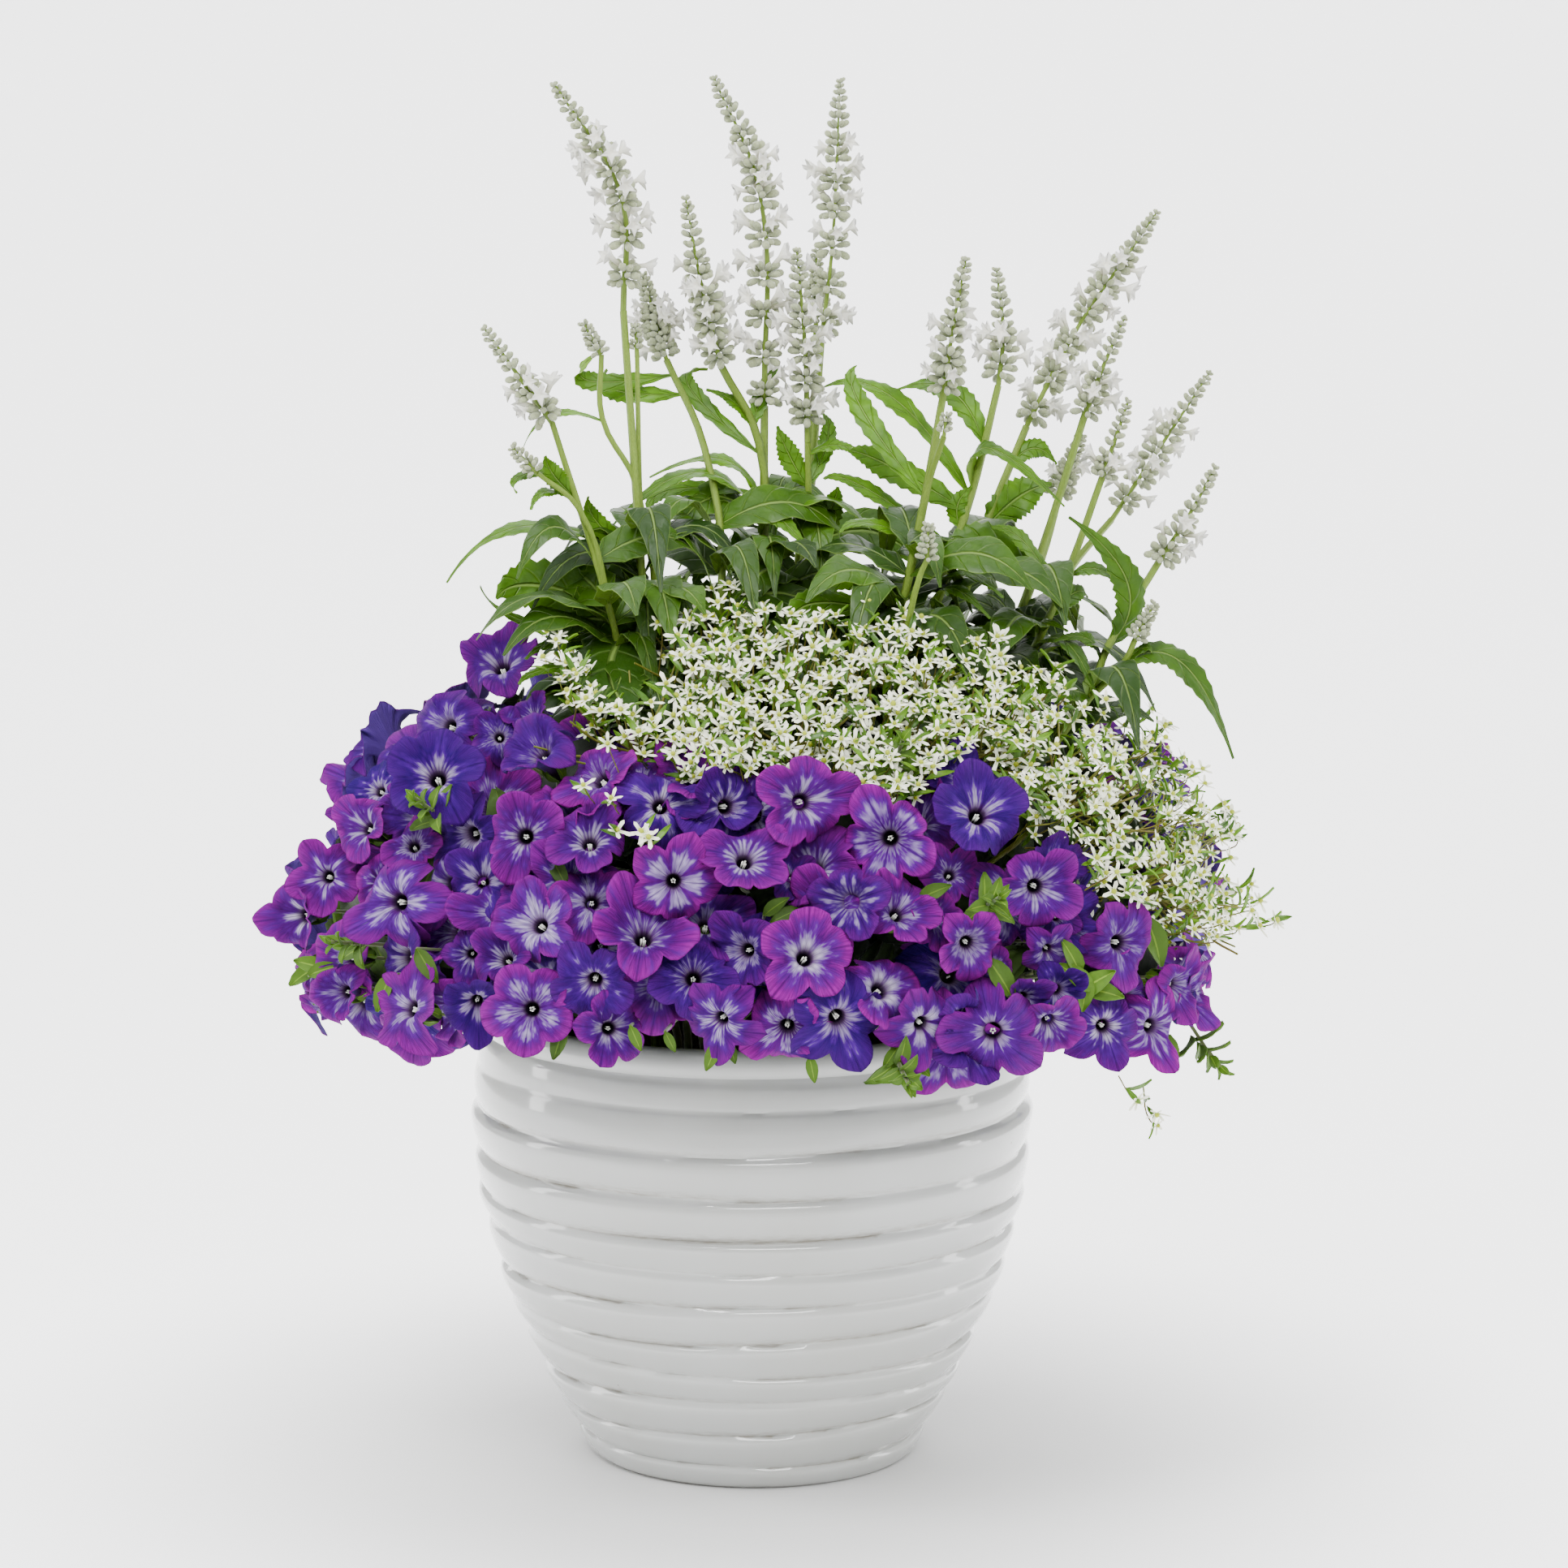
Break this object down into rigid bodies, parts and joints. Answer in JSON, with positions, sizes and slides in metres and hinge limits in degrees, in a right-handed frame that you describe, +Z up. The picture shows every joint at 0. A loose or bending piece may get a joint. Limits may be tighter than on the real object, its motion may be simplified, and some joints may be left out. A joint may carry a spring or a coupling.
{
  "type": "mixed flower planter",
  "caption": "Ribbed, glazed ceramic patio pot with a rolled rim and a narrow foot, planted full of trailing petunias, a euphorbia froth and upright salvia spikes above.",
  "frame": {"origin": "middle of the pot's flat foot, on the surface it stands on", "axes": "+Z up along the pot's axis, through the planting; -Y towards the side the plants show best, +X to that side's right"},
  "size_m": [0.6152, 0.5537, 0.854],
  "materials": {
    "pot": "gloss",
    "soil": "matte",
    "petunia_blooms": "velvety matte",
    "petunia_leaves": "satin",
    "euphorbia_bracts": "matte",
    "salvia_leaves": "satin",
    "salvia_spikes": "matte"
  },
  "bodies": {
    "root": {"euphorbia_tuft_1": "euphorbia_bracts", "euphorbia_tuft_2": "euphorbia_bracts", "euphorbia_tuft_3": "euphorbia_bracts", "euphorbia_tuft_4": "euphorbia_bracts", "euphorbia_tuft_5": "euphorbia_bracts", "euphorbia_tuft_6": "euphorbia_bracts", "euphorbia_tuft_7": "euphorbia_bracts", "euphorbia_tuft_8": "euphorbia_bracts", "euphorbia_tuft_9": "euphorbia_bracts", "petunia_shoot_1": "petunia_leaves", "petunia_shoot_2": "petunia_leaves", "petunia_shoot_3": "petunia_leaves", "petunia_shoot_4": "petunia_leaves", "petunia_shoot_5": "petunia_leaves", "petunia_shoot_6": "petunia_leaves", "petunia_spray_01": "petunia_blooms", "petunia_spray_02": "petunia_blooms", "petunia_spray_03": "petunia_blooms", "petunia_spray_04": "petunia_blooms", "petunia_spray_05": "petunia_blooms", "petunia_spray_06": "petunia_blooms", "petunia_spray_07": "petunia_blooms", "petunia_spray_08": "petunia_blooms", "petunia_spray_09": "petunia_blooms", "petunia_spray_10": "petunia_blooms", "petunia_spray_11": "petunia_blooms", "petunia_spray_12": "petunia_blooms", "petunia_spray_13": "petunia_blooms", "petunia_spray_14": "petunia_blooms", "petunia_spray_15": "petunia_blooms", "petunia_spray_16": "petunia_blooms", "petunia_spray_17": "petunia_blooms", "petunia_spray_18": "petunia_blooms", "petunia_spray_19": "petunia_blooms", "petunia_spray_20": "petunia_blooms", "pot": "pot", "salvia_front": "salvia_leaves", "salvia_left": "salvia_leaves", "salvia_middle": "salvia_leaves", "salvia_right": "salvia_leaves", "salvia_spike_01": "salvia_spikes", "salvia_spike_02": "salvia_spikes", "salvia_spike_03": "salvia_spikes", "salvia_spike_04": "salvia_spikes", "salvia_spike_05": "salvia_spikes", "salvia_spike_06": "salvia_spikes", "salvia_spike_07": "salvia_spikes", "salvia_spike_08": "salvia_spikes", "salvia_spike_09": "salvia_spikes", "salvia_spike_10": "salvia_spikes", "salvia_spike_11": "salvia_spikes", "salvia_spike_12": "salvia_spikes", "salvia_spike_13": "salvia_spikes", "salvia_spike_14": "salvia_spikes", "salvia_spike_15": "salvia_spikes", "salvia_spike_16": "salvia_spikes", "salvia_spike_17": "salvia_spikes", "salvia_spike_18": "salvia_spikes", "salvia_spike_19": "salvia_spikes", "soil": "soil"}
  },
  "joints": []
}
